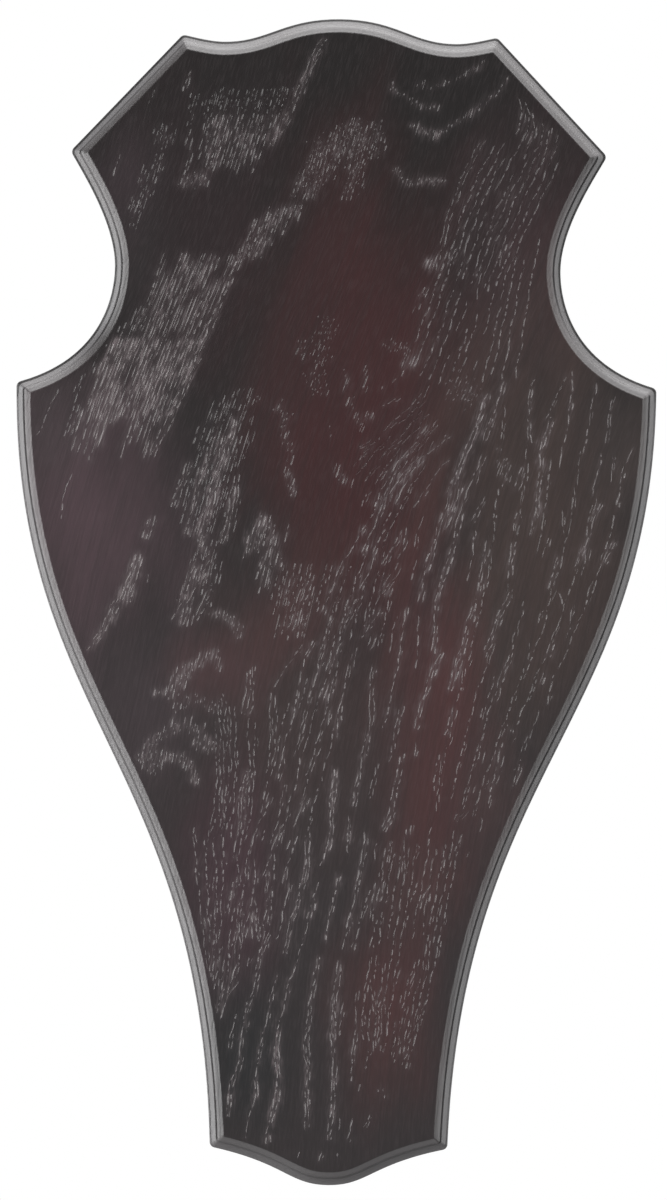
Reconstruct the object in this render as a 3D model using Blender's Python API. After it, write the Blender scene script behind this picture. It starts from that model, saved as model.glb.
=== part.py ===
"""Antler mounting plaque: a shield-shaped oak board with an ogee-moulded front edge.

Metres, +Z up. The flat back lies on the plane Y = 0 and the front faces -Y. The origin is
the middle of the back, halfway between the crest and the bottom tip, against the wall.
"""

import math
from collections import namedtuple

import bmesh
import bpy
from mathutils import Vector

# Board
BOARD_HEIGHT = 0.240
BOARD_THICKNESS = 0.015

# Full widths of the outline, from the top down: the dips beside the crest, the two top
# corners, the points below them, the hollowed neck, the shoulders and the foot
DIP_WIDTH = 0.0476
BROW_WIDTH = 0.0647
EAR_WIDTH = 0.1104
NECK_WIDTH = 0.0917
SHOULDER_WIDTH = 0.1317
FOOT_WIDTH = 0.0489

# Steps in height from each of those to the next
CREST_ABOVE_DIP = 0.00488
BROW_ABOVE_DIP = 0.00138
BROW_ABOVE_EAR = 0.0242
EAR_ABOVE_NECK = 0.0237
NECK_ABOVE_SHOULDER = 0.0240
FOOT_ABOVE_TIP = 0.0077

# Curves of the outline: the heading in degrees, and the pull as a share of the chord, at
# the start and at the end. Heading 0 runs outward along +X, and -90 runs straight down.
Curve = namedtuple("Curve", "start_heading start_pull end_heading end_pull")
CREST_CURVE = Curve(0, 0.484, 0, 0.371)
BROW_CURVE = Curve(0, 0.339, 12, 0.264)
UPPER_HOLLOW_CURVE = Curve(-118, 0.168, -90, 0.360)
LOWER_HOLLOW_CURVE = Curve(-90, 0.156, -15, 0.607)
SIDE_CURVE = Curve(-90, 0.428, -91.7, 0.493)
BASE_CURVE = Curve(-168.5, 0.627, -180, 0.321)

# Moulding, from the outer edge inward: a narrow lip, a hollow cove, then a round
LIP_WIDTH = 0.0003
COVE_RADIUS = 0.0012
ROUND_RADIUS = 0.0012

# Keyhole slot in the back, for a screw head
KEYHOLE_BELOW_CREST = 0.024
ENTRY_DIAMETER = 0.010
SCREW_SLOT_WIDTH = 0.005
SCREW_TRAVEL = 0.013
KEYHOLE_LIP = 0.0026
HEAD_SPACE = 0.0046

# Fineness of the faceted curves
OUTLINE_STEP = 0.0025
MOULDING_STEPS = 5
CIRCLE_STEPS = 24
CROSSING_STEPS = 48
CUTTER_OVERRUN = 0.001

# Dark stained oak under a satin lacquer
OAK_COLOUR = (0.040, 0.033, 0.032, 1.0)
OAK_ROUGHNESS = 0.42

MOULDING_DEPTH = COVE_RADIUS + ROUND_RADIUS
CREST_HEIGHT = BOARD_HEIGHT / 2
KEYHOLE_DEPTH = KEYHOLE_LIP + HEAD_SPACE


def heading_vector(degrees):
    """The unit direction in the (x, z) plane for a heading."""
    angle = math.radians(degrees)
    return Vector((math.cos(angle), math.sin(angle)))


def bezier(start, end, curve):
    """A function of a share from 0 to 1 that gives a curve's point and direction."""
    chord = (end - start).length
    first = start + heading_vector(curve.start_heading) * curve.start_pull * chord
    second = end - heading_vector(curve.end_heading) * curve.end_pull * chord

    def at(share):
        rest = 1 - share
        point = (start * rest**3 + first * 3 * rest**2 * share
                 + second * 3 * rest * share**2 + end * share**3)
        direction = ((first - start) * rest**2 + (second - first) * 2 * rest * share
                     + (end - second) * share**2)
        return point, direction.normalized()

    return at


def straight(start, end):
    """The same kind of function for a straight line."""
    direction = (end - start).normalized()
    return lambda share: (start.lerp(end, share), direction)


def joined(first, second):
    """Two curves that meet smoothly, as one function."""
    def at(share):
        if share < 0.5:
            return first(share * 2)
        return second(share * 2 - 1)
    return at


def half_outline_spans():
    """The right half of the outline, from the crest down to the bottom tip.

    Each span is smooth, and neighbouring spans meet at a corner of the board.
    """
    crest = Vector((0, CREST_HEIGHT))
    dip = Vector((DIP_WIDTH / 2, crest.y - CREST_ABOVE_DIP))
    brow = Vector((BROW_WIDTH / 2, dip.y + BROW_ABOVE_DIP))
    ear = Vector((EAR_WIDTH / 2, brow.y - BROW_ABOVE_EAR))
    neck = Vector((NECK_WIDTH / 2, ear.y - EAR_ABOVE_NECK))
    shoulder = Vector((SHOULDER_WIDTH / 2, neck.y - NECK_ABOVE_SHOULDER))
    tip = Vector((0, -CREST_HEIGHT))
    foot = Vector((FOOT_WIDTH / 2, tip.y + FOOT_ABOVE_TIP))
    return [
        joined(bezier(crest, dip, CREST_CURVE), bezier(dip, brow, BROW_CURVE)),
        straight(brow, ear),
        joined(bezier(ear, neck, UPPER_HOLLOW_CURVE),
               bezier(neck, shoulder, LOWER_HOLLOW_CURVE)),
        bezier(shoulder, foot, SIDE_CURVE),
        bezier(foot, tip, BASE_CURVE),
    ]


def inset_point(span, share, inset):
    """A point of a span moved into the board by the inset, square to the edge."""
    point, direction = span(share)
    inward = Vector((direction.y, -direction.x))
    return point + inward * inset


def crossing(first_a, first_b, second_a, second_b):
    """The shares at which two straight segments cross, or None."""
    first = first_b - first_a
    second = second_b - second_a
    turn = first.cross(second)
    if abs(turn) < 1e-15:
        return None
    gap = second_a - first_a
    along_first = gap.cross(second) / turn
    along_second = gap.cross(first) / turn
    if 0 <= along_first <= 1 and 0 <= along_second <= 1:
        return along_first, along_second
    return None


def mitre_shares(before, after, inset):
    """Where two inset spans cross near their corner: a share of each."""
    if inset == 0:
        return 1.0, 0.0
    shares = [i / CROSSING_STEPS for i in range(CROSSING_STEPS + 1)]
    before_points = [inset_point(before, 1 - share, inset) for share in shares]
    after_points = [inset_point(after, share, inset) for share in shares]
    for i, before_pair in enumerate(zip(before_points, before_points[1:])):
        for j, after_pair in enumerate(zip(after_points, after_points[1:])):
            found = crossing(*before_pair, *after_pair)
            if found:
                return 1 - (i + found[0]) / CROSSING_STEPS, (j + found[1]) / CROSSING_STEPS
    return 1.0, 0.0


def span_steps(span):
    """How many facets a span takes: one where it is straight."""
    points = [span(i / CROSSING_STEPS)[0] for i in range(CROSSING_STEPS + 1)]
    length = sum((b - a).length for a, b in zip(points, points[1:]))
    if length - (points[-1] - points[0]).length < 1e-6:
        return 1
    return math.ceil(length / OUTLINE_STEP)


def outline_loop(spans, inset):
    """The whole outline moved inward by the inset, mitred at its corners, as (x, z)."""
    mitres = [mitre_shares(a, b, inset) for a, b in zip(spans, spans[1:])]
    starts = [0.0] + [mitre[1] for mitre in mitres]
    ends = [mitre[0] for mitre in mitres] + [1.0]
    half = []
    for span, start, end in zip(spans, starts, ends):
        steps = span_steps(span)
        for step in range(steps):
            share = start + (end - start) * step / steps
            half.append(inset_point(span, share, inset))
    tip = inset_point(spans[-1], 1.0, inset)
    half[0].x = 0
    tip.x = 0
    mirrored = [Vector((-point.x, point.y)) for point in reversed(half[1:])]
    return half + [tip] + mirrored


def moulding_profile():
    """The moulding's section from the outer edge inward, as (inset, depth below the face)."""
    profile = [(0.0, MOULDING_DEPTH)]
    quarter = math.pi / 2
    for step in range(MOULDING_STEPS + 1):
        angle = quarter * step / MOULDING_STEPS
        inset = LIP_WIDTH + COVE_RADIUS * math.sin(angle)
        profile.append((inset, MOULDING_DEPTH - COVE_RADIUS * (1 - math.cos(angle))))
    for step in range(1, MOULDING_STEPS + 1):
        angle = quarter * step / MOULDING_STEPS
        inset = LIP_WIDTH + COVE_RADIUS + ROUND_RADIUS * (1 - math.cos(angle))
        profile.append((inset, ROUND_RADIUS * (1 - math.sin(angle))))
    return profile


def oak_material():
    """Dark stained oak under a satin lacquer."""
    material = bpy.data.materials.new("dark_oak")
    material.use_nodes = True
    shader = material.node_tree.nodes["Principled BSDF"]
    shader.inputs["Base Color"].default_value = OAK_COLOUR
    shader.inputs["Roughness"].default_value = OAK_ROUGHNESS
    shader.inputs["Metallic"].default_value = 0.0
    return material


def add_object(name, mesh):
    """Put a mesh in the scene under a name."""
    mesh.name = name
    new = bpy.data.objects.new(name, mesh)
    bpy.context.scene.collection.objects.link(new)
    return new


def add_cutter(name, outline, front, back):
    """A closed prism along Y over an outline of (x, z) points, used only to cut."""
    bm = bmesh.new()
    face = bm.faces.new([bm.verts.new((point.x, front, point.y)) for point in outline])
    grown = bmesh.ops.extrude_face_region(bm, geom=[face])
    moved = [item for item in grown["geom"] if isinstance(item, bmesh.types.BMVert)]
    bmesh.ops.translate(bm, verts=moved, vec=(0, back - front, 0))
    bmesh.ops.recalc_face_normals(bm, faces=bm.faces)
    mesh = bpy.data.meshes.new(name)
    bm.to_mesh(mesh)
    bm.free()
    cutter = add_object(name, mesh)
    cutter.hide_render = True
    cutter.display_type = "WIRE"
    return cutter


def arc(centre, radius, start_degrees, sweep_degrees):
    """Points round part of a circle, with its two ends."""
    steps = round(CIRCLE_STEPS * abs(sweep_degrees) / 360)
    points = []
    for step in range(steps + 1):
        angle = math.radians(start_degrees + sweep_degrees * step / steps)
        points.append(centre + Vector((math.cos(angle), math.sin(angle))) * radius)
    return points


def keyhole_cutters():
    """Three cutters that make the slot: the entry, the screw's slot and the space behind."""
    rest = Vector((0, CREST_HEIGHT - KEYHOLE_BELOW_CREST))
    entry = rest - Vector((0, SCREW_TRAVEL))
    head_radius = ENTRY_DIAMETER / 2
    slot_radius = SCREW_SLOT_WIDTH / 2
    entry_outline = arc(entry, head_radius, 0, 360)[:-1]
    head_outline = arc(rest, head_radius, 0, 180) + arc(entry, head_radius, 180, 180)
    slot_outline = arc(rest, slot_radius, 0, 180) + [
        entry + Vector((-slot_radius, 0)),
        entry + Vector((slot_radius, 0)),
    ]
    slot_front = -(KEYHOLE_LIP + KEYHOLE_DEPTH) / 2
    return [
        add_cutter("keyhole_entry_cutter", entry_outline, -KEYHOLE_DEPTH, CUTTER_OVERRUN),
        add_cutter("keyhole_head_cutter", head_outline, -KEYHOLE_DEPTH, -KEYHOLE_LIP),
        add_cutter("keyhole_slot_cutter", slot_outline, slot_front, CUTTER_OVERRUN),
    ]


def add_plaque_board():
    """The board: rings of points from the back edge to the moulding's inner edge."""
    spans = half_outline_spans()
    profile = moulding_profile()
    sections = [(0.0, 0.0)]
    sections += [(inset, depth - BOARD_THICKNESS) for inset, depth in profile]
    bm = bmesh.new()
    rings = []
    for inset, y in sections:
        loop = outline_loop(spans, inset)
        rings.append([bm.verts.new((point.x, y, point.y)) for point in loop])
    for outer, inner in zip(rings, rings[1:]):
        for i in range(len(outer)):
            j = (i + 1) % len(outer)
            bm.faces.new((outer[i], outer[j], inner[j], inner[i]))
    bm.faces.new(rings[0])
    bm.faces.new(rings[-1])
    bmesh.ops.recalc_face_normals(bm, faces=bm.faces)
    mesh = bpy.data.meshes.new("plaque_board")
    bm.to_mesh(mesh)
    bm.free()
    mesh.shade_smooth()
    mesh.set_sharp_from_angle(angle=math.radians(35))
    mesh.materials.append(oak_material())
    board = add_object("plaque_board", mesh)
    for cutter in keyhole_cutters():
        cut = board.modifiers.new(cutter.name, "BOOLEAN")
        cut.operation = "DIFFERENCE"
        cut.solver = "EXACT"
        cut.object = cutter
    return board


for old in list(bpy.data.objects):
    bpy.data.objects.remove(old, do_unlink=True)

add_plaque_board()
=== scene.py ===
import math
from collections import namedtuple

import bmesh
import bpy
import numpy as np
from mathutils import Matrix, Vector, geometry


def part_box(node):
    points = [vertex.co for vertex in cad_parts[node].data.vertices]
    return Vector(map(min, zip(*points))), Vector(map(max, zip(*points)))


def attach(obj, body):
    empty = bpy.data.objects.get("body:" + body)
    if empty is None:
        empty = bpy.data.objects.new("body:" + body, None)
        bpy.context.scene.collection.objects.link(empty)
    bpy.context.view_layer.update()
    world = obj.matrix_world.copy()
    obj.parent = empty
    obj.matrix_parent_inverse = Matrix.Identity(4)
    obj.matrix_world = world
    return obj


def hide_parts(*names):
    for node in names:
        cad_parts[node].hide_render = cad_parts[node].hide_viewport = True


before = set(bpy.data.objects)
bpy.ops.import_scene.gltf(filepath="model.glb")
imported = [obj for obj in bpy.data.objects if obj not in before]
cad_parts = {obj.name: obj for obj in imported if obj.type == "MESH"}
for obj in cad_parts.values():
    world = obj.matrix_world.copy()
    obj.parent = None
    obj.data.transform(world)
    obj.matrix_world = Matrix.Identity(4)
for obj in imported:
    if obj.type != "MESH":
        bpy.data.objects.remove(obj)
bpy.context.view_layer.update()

MM = 0.001

# The model's box, straight after loading
board_low, board_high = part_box("plaque_board")

BOARD_HEIGHT = board_high.z - board_low.z
SHOULDER_WIDTH = board_high.x - board_low.x
FACE_Y = board_low.y
CREST_HEIGHT = BOARD_HEIGHT / 2

# The rest of the outline, as full widths and steps in height
DIP_WIDTH = 0.0476
BROW_WIDTH = 0.0647
EAR_WIDTH = 0.1104
NECK_WIDTH = 0.0917
FOOT_WIDTH = 0.0489
CREST_ABOVE_DIP = 0.00488
BROW_ABOVE_DIP = 0.00138
BROW_ABOVE_EAR = 0.0242
EAR_ABOVE_NECK = 0.0237
NECK_ABOVE_SHOULDER = 0.0240
FOOT_ABOVE_TIP = 0.0077

# Headings in degrees and pulls as shares of the chord, at the start and at the end
Curve = namedtuple("Curve", "start_heading start_pull end_heading end_pull")
CREST_CURVE = Curve(0, 0.484, 0, 0.371)
BROW_CURVE = Curve(0, 0.339, 12, 0.264)
UPPER_HOLLOW_CURVE = Curve(-118, 0.168, -90, 0.360)
LOWER_HOLLOW_CURVE = Curve(-90, 0.156, -15, 0.607)
SIDE_CURVE = Curve(-90, 0.428, -91.7, 0.493)
BASE_CURVE = Curve(-168.5, 0.627, -180, 0.321)

# Moulding, from the outer edge inward
LIP_WIDTH = 0.0003
COVE_RADIUS = 0.0012
ROUND_RADIUS = 0.0012
MOULDING_DEPTH = COVE_RADIUS + ROUND_RADIUS
MOULDING_WIDTH = LIP_WIDTH + COVE_RADIUS + ROUND_RADIUS
LIP_ARRIS = 0.00012
BACK_ARRIS = 0.0004
OUTER_CORNER_RADIUS = 0.0012
INNER_CORNER_RADIUS = 0.0004
ROUND_EASE = 0.0003
COVE_CURVE = Curve(-37, 0.36, -89, 0.36)
ROUND_CURVE = Curve(-89, 0.36, -38, 0.36)

# Keyhole slot in the back
KEYHOLE_BELOW_CREST = 0.024
ENTRY_RADIUS = 0.0050
SCREW_SLOT_RADIUS = 0.0025
HEAD_SPACE_RADIUS = 0.0051
SCREW_TRAVEL = 0.013
KEYHOLE_LIP = 0.0026
KEYHOLE_DEPTH = 0.0072
KEYHOLE_ARRIS = 0.0003

# Fineness
OUTLINE_STEP = 0.0010
MOULDING_STEPS = 7
CORNER_STEPS = 5
MITRE_ROUNDS = 12
KEYHOLE_STEPS = 40
GRAIN_STEPS = 481
SPAN_SAMPLES = 200

# Open pores cut through by the face. ROW_PORE is a mean length in millimetres
PORE_HALF_WIDTH = 0.00016
PORE_WIDTH_SHARES = (0.6, 1.3)
NARROWEST_SHARE = 0.45
PORE_GAP = 0.00003
NARROWER = (1.0, 0.75, 0.55)
PORE_DEPTH_PER_WIDTH = 0.25
PORE_SHORTEST = 0.0005
PORE_LONGEST = 0.009
PORE_LENGTH_SPREAD = 0.5
PORE_POINT_SPACING = 0.0007
PORE_MOST_POINTS = 6
PORE_TIP_SHARE = 0.16
PORE_END_SHARE = 0.2
PORE_TIP_LIGHT = 0.3
PORE_RIM_LIGHT = 0.6
ROW_PORE = 1.7
ROW_PITCH = 0.00040
ROW_JITTER = 0.00009
ROW_BREAK = 0.00014
ROW_TILT = 0.00003
ROW_WANDER = ((0.0034, 0.00007), (0.0085, 0.00014))
ROW_SHADES = (0.7, 1.2)
BAND_PITCH = 0.00034
BAND_SPREAD = 3.2
BAND_SHADES = (0.5, 1.4)
PATCH_PITCH = 0.00048
PATCH_JITTER = 0.00006
PATCH_SHADES = (0.65, 1.25)
PATCH_FEATHER = 0.0005
PATCH_OVERRUN = 0.0022
PATCH_LEAN_SHARES = (0.7, 0.3)
SHEAF_RAGGED = 0.16
SHEAF_SHADES = (0.7, 1.3)
SHEAF_STAGGER = (0.25, 0.75)
PATCHY_ACROSS = 0.0022
PATCHY_ALONG = 0.0090
PATCHY_CELLS = 64
PATCHY_SHADES = (0.7, 1.3)
BAREST = 0.20
FACE_MARGIN = 0.0004
CALM_PITCH = 0.0013
CALM_JITTER = (0.2, 0.8)
GRID_CELL = 0.0001
GROUND_STEP = GRID_CELL * 0.8
PATH_STEP = 0.0004
CELLS_A_STEP = 4
PATH_EASE = 6
HAZE_CELL = 0.0005
HAZE_BLURS = 2

# Where each side lies on the square that baking paints, and its scale there
FRONT_BAKE_SCALE = 0.98 / BOARD_HEIGHT
BACK_BAKE_SCALE = 0.58 / BOARD_HEIGHT
EDGE_LENGTH = 0.66
EDGE_BAKE_SCALE = 1.90 / EDGE_LENGTH
SLOT_LENGTH = 0.056
SLOT_BAKE_SCALE = 6.0
SLOT_HALF_WIDTH = HEAD_SPACE_RADIUS + MM
SLOT_HALF_HEIGHT = 0.013
SLOT_MIDDLE = CREST_HEIGHT - KEYHOLE_BELOW_CREST - SCREW_TRAVEL / 2
FRONT_CORNER = (0.50, 0.28)
BACK_CORNER = (0.30, 0.73)
FLOOR_CORNER = (0.72, 0.62)
STEP_CORNER = (0.90, 0.62)
EDGE_STRIPS = [(corner, EDGE_LENGTH, EDGE_BAKE_SCALE) for corner in ((0.01, 0.905), (0.01, 0.955))]
SLOT_STRIP = ((0.64, 0.70), SLOT_LENGTH, SLOT_BAKE_SCALE)
SLOT_STEP_FACING = 0.9
BACK_SIDE_FACING = 0.3

# How far the fibres lean right for each step up, at heights up the board, and more at a swirl
LEAN_HEIGHTS = (-0.120, -0.100, -0.060, -0.030, 0.0, 0.025, 0.045, 0.065, 0.090, 0.120)
LEAN_SLOPES = (0.03, 0.08, 0.15, 0.19, 0.22, 0.28, 0.36, 0.40, 0.30, 0.25)
SWIRL_CENTRE = (0.019, 0.031)
SWIRL_RADIUS = 0.011
SWIRL_SLOPE = 0.45

# The photograph's frame, in its own pixels
FRAME_WIDTH_PX = 667
FRAME_HEIGHT_PX = 1200
OUTLINE_HEIGHT_PX = 1166.1
MIDDLE_X_PX = 334.25
MIDDLE_Y_PX = 602.15
ROLL_DEGREES = 0.6
PX = BOARD_HEIGHT / OUTLINE_HEIGHT_PX

# The figure, picked on the photograph: points and widths in its pixels, pores in millimetres

# Rows of open pores: path, width and lightness
Row = namedtuple("Row", "path width lightness")
ROWS = {
    "crest and ear": [
        ([(325, 38), (313, 60), (303, 84), (295, 104), (283, 126), (272, 146)], 7, 0.50),
        ([(123, 150), (112, 177)], 2, 0.35),
        ([(193, 66), (184, 92)], 4, 0.30),
        ([(156, 90), (147, 104)], 3, 0.20),
    ],
    "left shoulder": [
        ([(246, 245), (234, 276), (218, 310), (205, 340), (192, 372), (174, 410),
          (150, 458)], 8, 0.55),
        ([(62, 385), (52, 408), (38, 436)], 4, 0.35),
        ([(74, 470), (64, 500), (60, 520)], 3, 0.22),
    ],
    "streak to the left edge": [
        ([(189, 460), (182, 485), (172, 508)], 7, 0.45),
        ([(155, 514), (146, 540)], 9, 0.6),
        ([(142, 552), (133, 575), (125, 603)], 12, 0.8),
        ([(118, 598), (106, 630), (96, 640), (84, 652)], 8, 0.75),
        ([(150, 570), (148, 584)], 3, 0.3),
    ],
    "left sheaf": [
        ([(217, 434), (210, 455), (199, 483), (192, 514), (187, 534)], 5, 0.7),
        ([(225, 437), (217, 473), (210, 498), (199, 534)], 5, 0.8),
        ([(236, 418), (225, 460), (217, 480), (210, 514), (202, 547)], 6, 0.75),
        ([(238, 470), (230, 514), (222, 545)], 7, 0.45),
        ([(210, 560), (200, 580), (189, 600), (182, 624)], 4, 0.7),
        ([(199, 562), (184, 601), (171, 624)], 4, 0.6),
        ([(214, 585), (206, 604), (196, 620)], 6, 0.35),
    ],
    "legs of the hoops": [
        ([(252, 664), (250, 690), (245, 715)], 10, 0.30),
        ([(274, 690), (272, 725), (274, 750), (266, 780)], 8, 0.30),
        ([(222, 690), (224, 740), (224, 790), (223, 830)], 8, 0.22),
        ([(251, 770), (242, 788), (241, 822), (238, 858)], 7, 0.42),
        ([(291, 630), (300, 600), (310, 572)], 12, 0.28),
        ([(304, 640), (290, 664), (272, 690)], 5, 0.35),
    ],
    "fan": [
        ([(427, 390), (412, 406), (398, 420), (380, 436)], 5, 0.38),
        ([(403, 397), (382, 408)], 5, 0.4),
        ([(378, 438), (360, 450)], 6, 0.35),
        ([(402, 440), (388, 452), (377, 462)], 5, 0.35),
        ([(429, 427), (415, 442), (399, 462), (382, 490), (376, 508)], 4, 0.55),
        ([(452, 435), (440, 445), (424, 457), (412, 475), (395, 506)], 4, 0.55),
        ([(420, 455), (405, 472), (391, 490), (380, 515), (372, 532), (361, 556)], 4, 0.55),
        ([(451, 459), (436, 474), (422, 495), (412, 510)], 4, 0.42),
        ([(369, 490), (362, 508)], 5, 0.35),
        ([(367, 525), (352, 550), (340, 570), (332, 590), (322, 617)], 4, 0.62),
        ([(385, 527), (375, 547), (370, 570), (362, 590)], 4, 0.5),
        ([(402, 530), (392, 550), (384, 566)], 4, 0.42),
        ([(410, 535), (397, 560)], 3, 0.45),
        ([(405, 562), (390, 585), (380, 597)], 4, 0.45),
        ([(390, 572), (379, 592)], 3, 0.4),
        ([(427, 510), (418, 530), (414, 552)], 4, 0.25),
        ([(418, 556), (413, 582)], 4, 0.42),
        ([(386, 607), (370, 625), (362, 638)], 4, 0.5),
        ([(358, 597), (347, 625)], 5, 0.35),
        ([(379, 632), (368, 654)], 3, 0.4),
        ([(432, 380), (424, 398)], 4, 0.35),
    ],
    "strong rows": [
        ([(507, 380), (500, 404), (492, 420), (484, 440)], 6, 0.55),
        ([(490, 390), (480, 420), (467, 450), (455, 480), (440, 527), (430, 560), (425, 580),
          (419, 604)], 6, 0.65),
        ([(460, 484), (451, 506), (442, 527)], 10, 0.60),
        ([(484, 456), (472, 488), (460, 518), (456, 540), (446, 566), (438, 592), (435, 622),
          (434, 655)], 6, 0.55),
        ([(442, 652), (431, 677), (424, 702), (415, 730)], 6, 0.75),
        ([(419, 742), (415, 756)], 4, 0.5),
        ([(419, 610), (418, 640), (417, 668)], 5, 0.4),
        ([(408, 604), (402, 643), (397, 672), (391, 700), (383, 730)], 5, 0.6),
    ],
    "right side": [
        ([(535, 376), (529, 402), (531, 444)], 5, 0.4),
        ([(552, 418), (542, 445), (539, 481), (537, 504), (531, 535)], 6, 0.6),
        ([(572, 370), (571, 399), (565, 444), (560, 470)], 4, 0.36),
        ([(598, 376), (588, 428), (584, 454)], 4, 0.34),
        ([(613, 394), (608, 425), (606, 447)], 4, 0.30),
        ([(602, 452), (596, 486), (592, 500)], 4, 0.45),
        ([(603, 498), (589, 534), (576, 568)], 4, 0.62),
        ([(615, 455), (609, 484)], 4, 0.36),
        ([(634, 444), (622, 475), (617, 508)], 4, 0.36),
        ([(614, 542), (605, 563)], 6, 0.5),
        ([(590, 547), (580, 578)], 5, 0.42),
        ([(551, 536), (540, 561)], 4, 0.4),
        ([(561, 552), (554, 570), (547, 590)], 4, 0.5),
        ([(526, 466), (515, 490)], 7, 0.36),
        ([(520, 508), (514, 532)], 6, 0.4),
        ([(514, 540), (510, 565), (510, 580)], 6, 0.4),
        ([(486, 497), (474, 523)], 6, 0.35),
        ([(477, 531), (469, 581)], 5, 0.4),
        ([(487, 540), (484, 562), (479, 592)], 6, 0.6),
        ([(477, 598), (469, 623), (461, 657), (450, 690)], 7, 0.6),
        ([(474, 600), (462, 630)], 4, 0.5),
        ([(465, 660), (462, 690)], 5, 0.35),
        ([(513, 586), (496, 623), (485, 656)], 7, 0.42),
        ([(516, 640), (506, 676), (497, 706)], 4, 0.35),
        ([(575, 603), (567, 639)], 4, 0.4),
        ([(543, 604), (538, 626)], 4, 0.34),
        ([(558, 638), (550, 658)], 5, 0.42),
        ([(531, 642), (528, 660)], 5, 0.36),
        ([(555, 674), (547, 707)], 5, 0.32),
        ([(544, 670), (540, 686)], 5, 0.36),
        ([(496, 674), (488, 698)], 5, 0.36),
        ([(457, 703), (448, 738)], 7, 0.42),
        ([(564, 510), (563, 534)], 5, 0.25),
        ([(577, 484), (575, 508)], 5, 0.3),
        ([(559, 584), (562, 604)], 5, 0.3),
        ([(570, 375), (556, 400), (548, 420)], 4, 0.2),
        ([(503, 740), (497, 766), (493, 786), (488, 809)], 4, 0.36),
        ([(485, 748), (480, 770)], 4, 0.32),
        ([(521, 760), (511, 789)], 4, 0.34),
        ([(526, 735), (521, 752)], 5, 0.25),
        ([(484, 700), (480, 720)], 4, 0.3),
        ([(470, 808), (457, 822)], 5, 0.3),
        ([(463, 830), (456, 855)], 4, 0.32),
        ([(471, 846), (466, 862)], 4, 0.28),
        ([(483, 816), (480, 832)], 5, 0.28),
        ([(440, 754), (435, 796)], 6, 0.22),
        ([(476, 780), (474, 796)], 4, 0.25),
    ],
    "from the fan to the foot": [
        ([(334, 610), (326, 630), (322, 655), (315, 684), (309, 704)], 5, 0.62),
        ([(317, 634), (305, 660), (300, 686), (297, 709), (290, 735), (285, 753),
          (279, 778)], 5, 0.6),
        ([(343, 640), (333, 663), (326, 684), (320, 698)], 5, 0.5),
        ([(307, 706), (301, 735), (294, 758)], 5, 0.5),
        ([(354, 650), (346, 684), (340, 707), (337, 738)], 5, 0.45),
        ([(331, 708), (329, 726)], 4, 0.45),
        ([(374, 664), (370, 694), (373, 719), (364, 753), (359, 778), (354, 807)], 6, 0.5),
        ([(402, 706), (397, 735), (390, 762)], 6, 0.42),
        ([(405, 750), (398, 778), (392, 809), (384, 830)], 7, 0.45),
        ([(323, 728), (313, 760), (309, 778)], 6, 0.36),
        ([(300, 756), (296, 791)], 4, 0.45),
        ([(286, 785), (279, 817)], 4, 0.45),
        ([(308, 796), (300, 812), (293, 828)], 5, 0.42),
        ([(338, 762), (331, 796), (333, 822), (329, 848), (322, 868)], 6, 0.6),
        ([(349, 812), (348, 852)], 5, 0.5),
        ([(272, 795), (262, 820), (250, 850), (246, 880)], 5, 0.42),
        ([(285, 818), (276, 845), (264, 876)], 5, 0.45),
        ([(297, 836), (288, 866), (282, 884)], 4, 0.45),
        ([(308, 828), (306, 868), (301, 889), (298, 906), (290, 932), (284, 953)], 6, 0.55),
        ([(376, 760), (372, 800)], 6, 0.3),
        ([(392, 836), (388, 862)], 5, 0.4),
        ([(408, 826), (403, 872)], 5, 0.36),
        ([(366, 830), (362, 860), (356, 884)], 6, 0.4),
        ([(378, 838), (376, 862)], 5, 0.36),
    ],
    "foot": [
        ([(320, 878), (311, 909), (306, 928), (298, 962), (290, 980), (284, 1009),
          (279, 1030)], 5, 0.55),
        ([(279, 1030), (276, 1050), (278, 1072), (277, 1096), (268, 1130), (267, 1146)], 6, 0.65),
        ([(341, 870), (334, 898), (326, 940)], 5, 0.65),
        ([(322, 952), (312, 991), (308, 1024), (306, 1055), (310, 1072), (307, 1091), (306, 1116),
          (308, 1128)], 6, 0.55),
        ([(359, 875), (352, 911), (342, 950)], 5, 0.45),
        ([(339, 960), (334, 993), (332, 1027), (335, 1055), (335, 1091), (331, 1127),
          (329, 1140)], 6, 0.52),
        ([(344, 998), (337, 1037)], 5, 0.42),
        ([(369, 890), (358, 930), (352, 950)], 5, 0.36),
        ([(376, 880), (370, 920)], 6, 0.32),
        ([(384, 880), (380, 902)], 6, 0.36),
        ([(267, 896), (266, 926)], 5, 0.5),
        ([(272, 930), (262, 945), (257, 980), (246, 1020), (241, 1057), (232, 1083),
          (226, 1116)], 6, 0.5),
        ([(280, 966), (270, 1009), (264, 1034), (259, 1052), (257, 1078), (256, 1098),
          (249, 1121), (245, 1139)], 5, 0.5),
        ([(357, 985), (356, 1030), (355, 1052), (352, 1082)], 5, 0.42),
        ([(236, 876), (226, 914)], 4, 0.45),
        ([(254, 905), (253, 940)], 4, 0.5),
        ([(242, 915), (240, 966)], 4, 0.42),
        ([(231, 924), (229, 978)], 4, 0.4),
        ([(218, 905), (213, 950)], 4, 0.3),
        ([(222, 940), (216, 990)], 4, 0.32),
        ([(244, 975), (229, 996), (220, 1020)], 4, 0.4),
        ([(238, 1008), (231, 1048)], 4, 0.34),
        ([(252, 950), (246, 968)], 4, 0.4),
        ([(212, 985), (218, 1030)], 6, 0.25),
        ([(418, 880), (409, 906)], 4, 0.36),
        ([(433, 880), (424, 900)], 4, 0.36),
        ([(404, 962), (397, 985)], 4, 0.36),
        ([(418, 958), (408, 990), (403, 1012)], 6, 0.3),
        ([(430, 930), (424, 970)], 6, 0.2),
        ([(372, 985), (376, 1010)], 6, 0.26),
        ([(388, 1035), (382, 1052)], 5, 0.34),
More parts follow.
